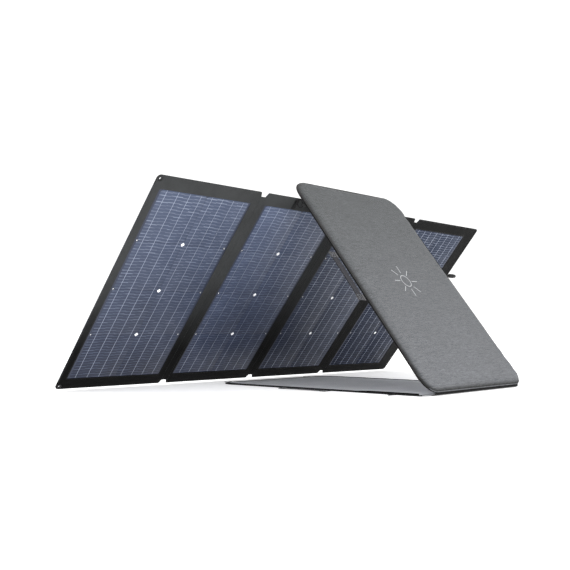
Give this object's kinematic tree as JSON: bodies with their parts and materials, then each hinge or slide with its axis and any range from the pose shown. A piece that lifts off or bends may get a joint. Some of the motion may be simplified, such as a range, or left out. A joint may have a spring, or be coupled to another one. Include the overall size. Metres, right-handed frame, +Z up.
{
  "type": "folding portable solar panel",
  "caption": "Folding fabric-hinged solar panel leaning on its opened carry case, which stands as an A-frame.",
  "frame": {"origin": "on the ground, on the underside of the ground half, midway between the panel's lower edge and the case hinge, at the panel's mid width", "axes": "+Z up, +X along the panel towards section_1, -Y towards the sun side"},
  "size_m": [1.9249, 1.0347, 0.711],
  "materials": {
    "outer_fabric": "matte heathered polyester",
    "trim_fabric": "matte coated fabric",
    "lining": "smooth matte lining",
    "webbing": "woven webbing",
    "cell_laminate": "satin laminate over slate blue cells",
    "moulded_black": "fine moulded texture",
    "stiffener_board": "matte",
    "circuit_board": "satin",
    "black_metal": "black nickel plated",
    "steel": "nickel plated"
  },
  "bodies": {
    "ground_half": {"ground_cover": "outer_fabric", "ground_liner": "lining", "ground_zip_tape": "trim_fabric", "spine_strip": "trim_fabric", "ground_handle_anchor_lower": "webbing", "ground_handle_anchor_upper": "webbing", "front_tab_near": "trim_fabric", "front_tab_far": "trim_fabric"},
    "zip_slider": {"zip_slider": "moulded_black"},
    "zip_pull": {"zip_pull": "moulded_black"},
    "ground_handle": {"ground_handle": "webbing"},
    "front_ring_near": {"front_ring_near": "steel"},
    "front_ring_far": {"front_ring_far": "steel"},
    "rear_half": {"rear_cover": "outer_fabric", "rear_stiffener": "stiffener_board", "rear_liner": "lining", "rear_zip_tape": "trim_fabric", "rear_handle_anchor_lower": "webbing", "rear_handle_anchor_upper": "webbing", "ring_tab_near": "trim_fabric", "ring_tab_far": "trim_fabric", "top_ring_near": "moulded_black", "top_ring_far": "moulded_black"},
    "rear_handle": {"rear_handle": "webbing"},
    "section_3": {"section_3_rear_border": "trim_fabric", "section_3_laminate": "cell_laminate", "section_3_front_border": "trim_fabric", "fold_strip_centre": "trim_fabric", "fold_strip_far": "trim_fabric", "top_clip_far": "moulded_black"},
    "section_2": {"section_2_rear_border": "trim_fabric", "section_2_laminate": "cell_laminate", "section_2_front_border": "trim_fabric", "fold_strip_near": "trim_fabric", "top_clip_near": "moulded_black"},
    "section_1": {"section_1_rear_border": "trim_fabric", "section_1_laminate": "cell_laminate", "section_1_front_border": "trim_fabric", "eyelet_near_bottom": "black_metal", "eyelet_near_top": "black_metal"},
    "section_4": {"section_4_rear_border": "trim_fabric", "section_4_laminate": "cell_laminate", "section_4_front_border": "trim_fabric", "junction_box_floor": "moulded_black", "junction_box_walls": "moulded_black", "junction_box_lid": "moulded_black", "lid_screw_1": "steel", "lid_screw_2": "steel", "bypass_diode_board": "circuit_board", "output_gland": "moulded_black", "output_neck": "moulded_black", "output_socket": "moulded_black"}
  },
  "joints": [
    {"name": "case_hinge", "type": "hinge", "parent": "ground_half", "child": "rear_half", "pos_m": [0, 0.50619, 0.0059], "axis": [-1, 0, 0], "range_deg": [-11.05, 28.95]},
    {"name": "panel_pivot", "type": "hinge", "parent": "rear_half", "child": "section_3", "pos_m": [0, -0.0036, 0.63021], "axis": [1, 0, 0], "range_deg": [-22.2, 58]},
    {"name": "fold_centre", "type": "hinge", "parent": "section_3", "child": "section_2", "pos_m": [0.0195, -0.26188, 0.32978], "axis": [0, -0.6286, -0.7777], "range_deg": [0, 180]},
    {"name": "fold_near", "type": "hinge", "parent": "section_2", "child": "section_1", "pos_m": [0.4685, -0.25955, 0.3279], "axis": [0, -0.6286, -0.7777], "range_deg": [0, 180]},
    {"name": "fold_far", "type": "hinge", "parent": "section_3", "child": "section_4", "pos_m": [-0.4295, -0.26382, 0.33136], "axis": [0, 0.6286, 0.7777], "range_deg": [0, 176]},
    {"name": "rear_handle_swing", "type": "hinge", "parent": "rear_half", "child": "rear_handle", "pos_m": [0.3103, 0.22584, 0.37124], "axis": [0, -0.6138, 0.7895], "range_deg": [-90, 90]},
    {"name": "ground_handle_swing", "type": "hinge", "parent": "ground_half", "child": "ground_handle", "pos_m": [0.3103, 0.04569, 0.0017], "axis": [0, -1, 0], "range_deg": [0, 100]},
    {"name": "front_ring_near_swing", "type": "hinge", "parent": "ground_half", "child": "front_ring_near", "pos_m": [0.2275, -0.40481, 0.0024], "axis": [-1, 0, 0], "range_deg": [0, 90]},
    {"name": "front_ring_far_swing", "type": "hinge", "parent": "ground_half", "child": "front_ring_far", "pos_m": [-0.2275, -0.40481, 0.0024], "axis": [-1, 0, 0], "range_deg": [0, 90]},
    {"name": "zip_slide", "type": "slide", "parent": "ground_half", "child": "zip_slider", "axis": [0, -1, 0], "range_m": [-0.08, 0.2]},
    {"name": "zip_pull_swing", "type": "hinge", "parent": "zip_slider", "child": "zip_pull", "pos_m": [0.31665, 0.39119, 0.0017], "axis": [0, -1, 0], "range_deg": [0, 90]}
  ],
  "couplings": [
    {"joint": "panel_pivot", "follows": "case_hinge", "ratio": 2}
  ]
}
